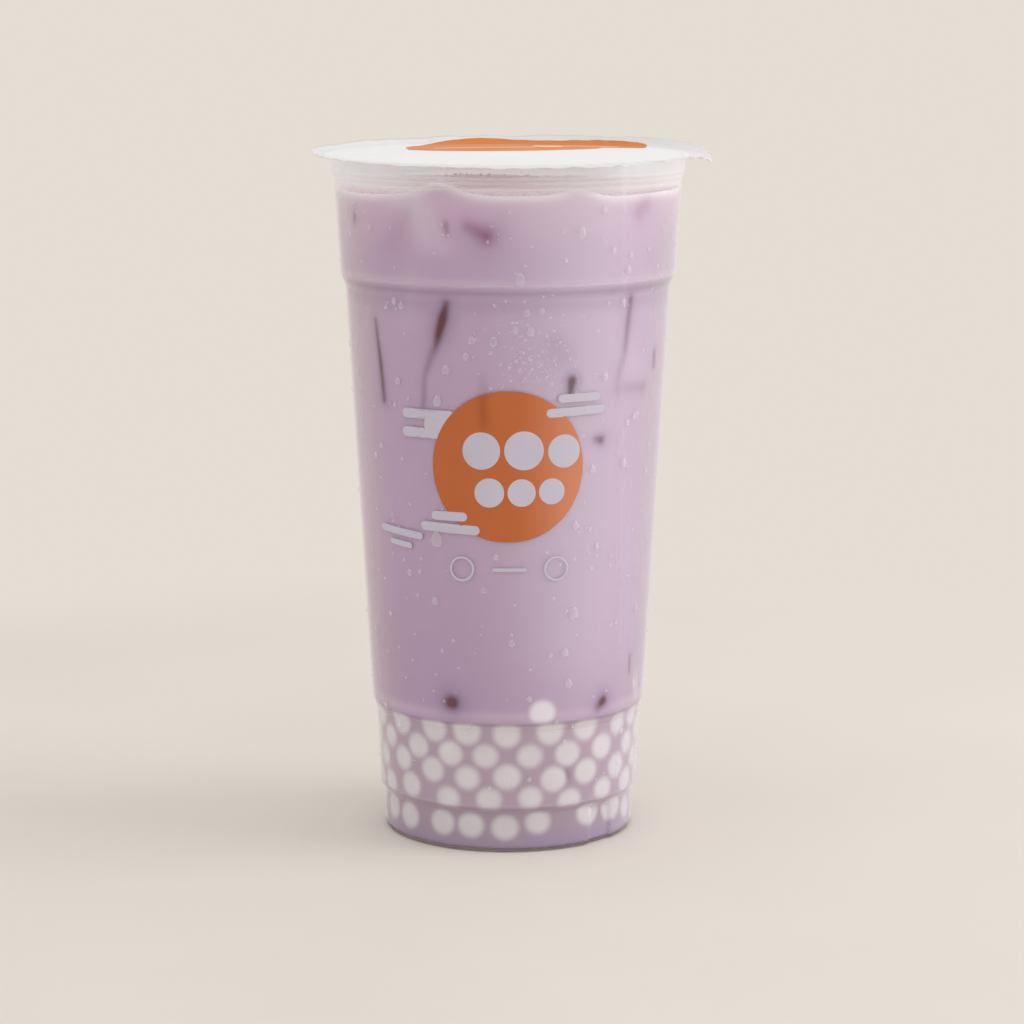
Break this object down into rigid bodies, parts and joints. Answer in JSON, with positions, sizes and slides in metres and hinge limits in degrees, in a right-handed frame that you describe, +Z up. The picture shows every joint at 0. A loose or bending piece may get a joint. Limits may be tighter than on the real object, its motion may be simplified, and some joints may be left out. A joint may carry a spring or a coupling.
{
  "type": "taro bubble tea",
  "caption": "Tall stepped clear plastic cup of lilac taro milk tea over white tapioca pearls, sealed with a white and orange film.",
  "frame": {"origin": "centre of the cup's foot, on the surface that the cup stands on", "axes": "+Z up along the cup's axis; the printed front faces -Y, and +X is to the right of the front"},
  "size_m": [0.1016, 0.0963, 0.1762],
  "materials": {
    "clear_plastic": "slightly hazy polypropylene, smooth, with water drops on it",
    "white_film": "thin translucent white sealing film with fine wrinkles",
    "taro_milk": "opaque lilac milk drink, stands in for a liquid",
    "white_pearl": "translucent white tapioca in lilac milk",
    "froth": "fine pale froth along the drink's edge",
    "ice": "clear ice sunk in the drink",
    "orange_print": "flat orange ink",
    "pale_print": "thin pale ink",
    "water": "clear condensed water drops"
  },
  "bodies": {
    "root": {"cup": "clear_plastic", "film": "white_film", "taro_milk": "taro_milk", "pearls": "white_pearl"}
  },
  "joints": []
}
